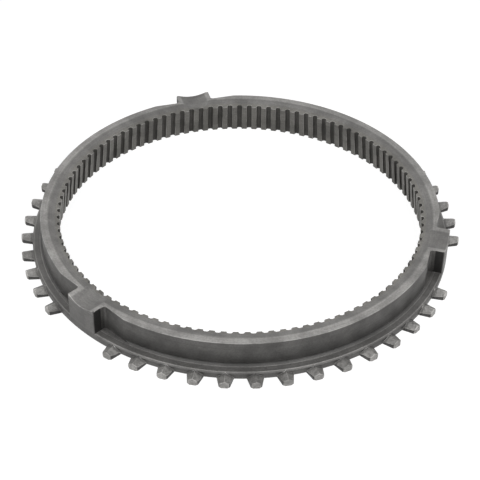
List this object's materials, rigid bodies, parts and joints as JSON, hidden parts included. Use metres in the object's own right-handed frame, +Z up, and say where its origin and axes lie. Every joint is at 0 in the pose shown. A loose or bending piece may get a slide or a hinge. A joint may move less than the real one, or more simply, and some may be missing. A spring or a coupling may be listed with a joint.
{
  "type": "synchronizer ring",
  "caption": "Steel synchronizer ring with a grooved inner friction cone, coupling teeth round its flange and three stop lugs.",
  "frame": {"origin": "on the ring's axis, in the plane of the underside", "axes": "+Z up along the ring's axis, from the toothed flange to the narrow end of the cone; +X through the middle of one lug"},
  "size_m": [0.1711, 0.1724, 0.0138],
  "materials": {
    "ring_steel": "bare forged and machined steel with a dull grey surface, slightly brighter on worn edges"
  },
  "bodies": {
    "root": {"synchronizer_ring": "ring_steel"}
  },
  "joints": []
}
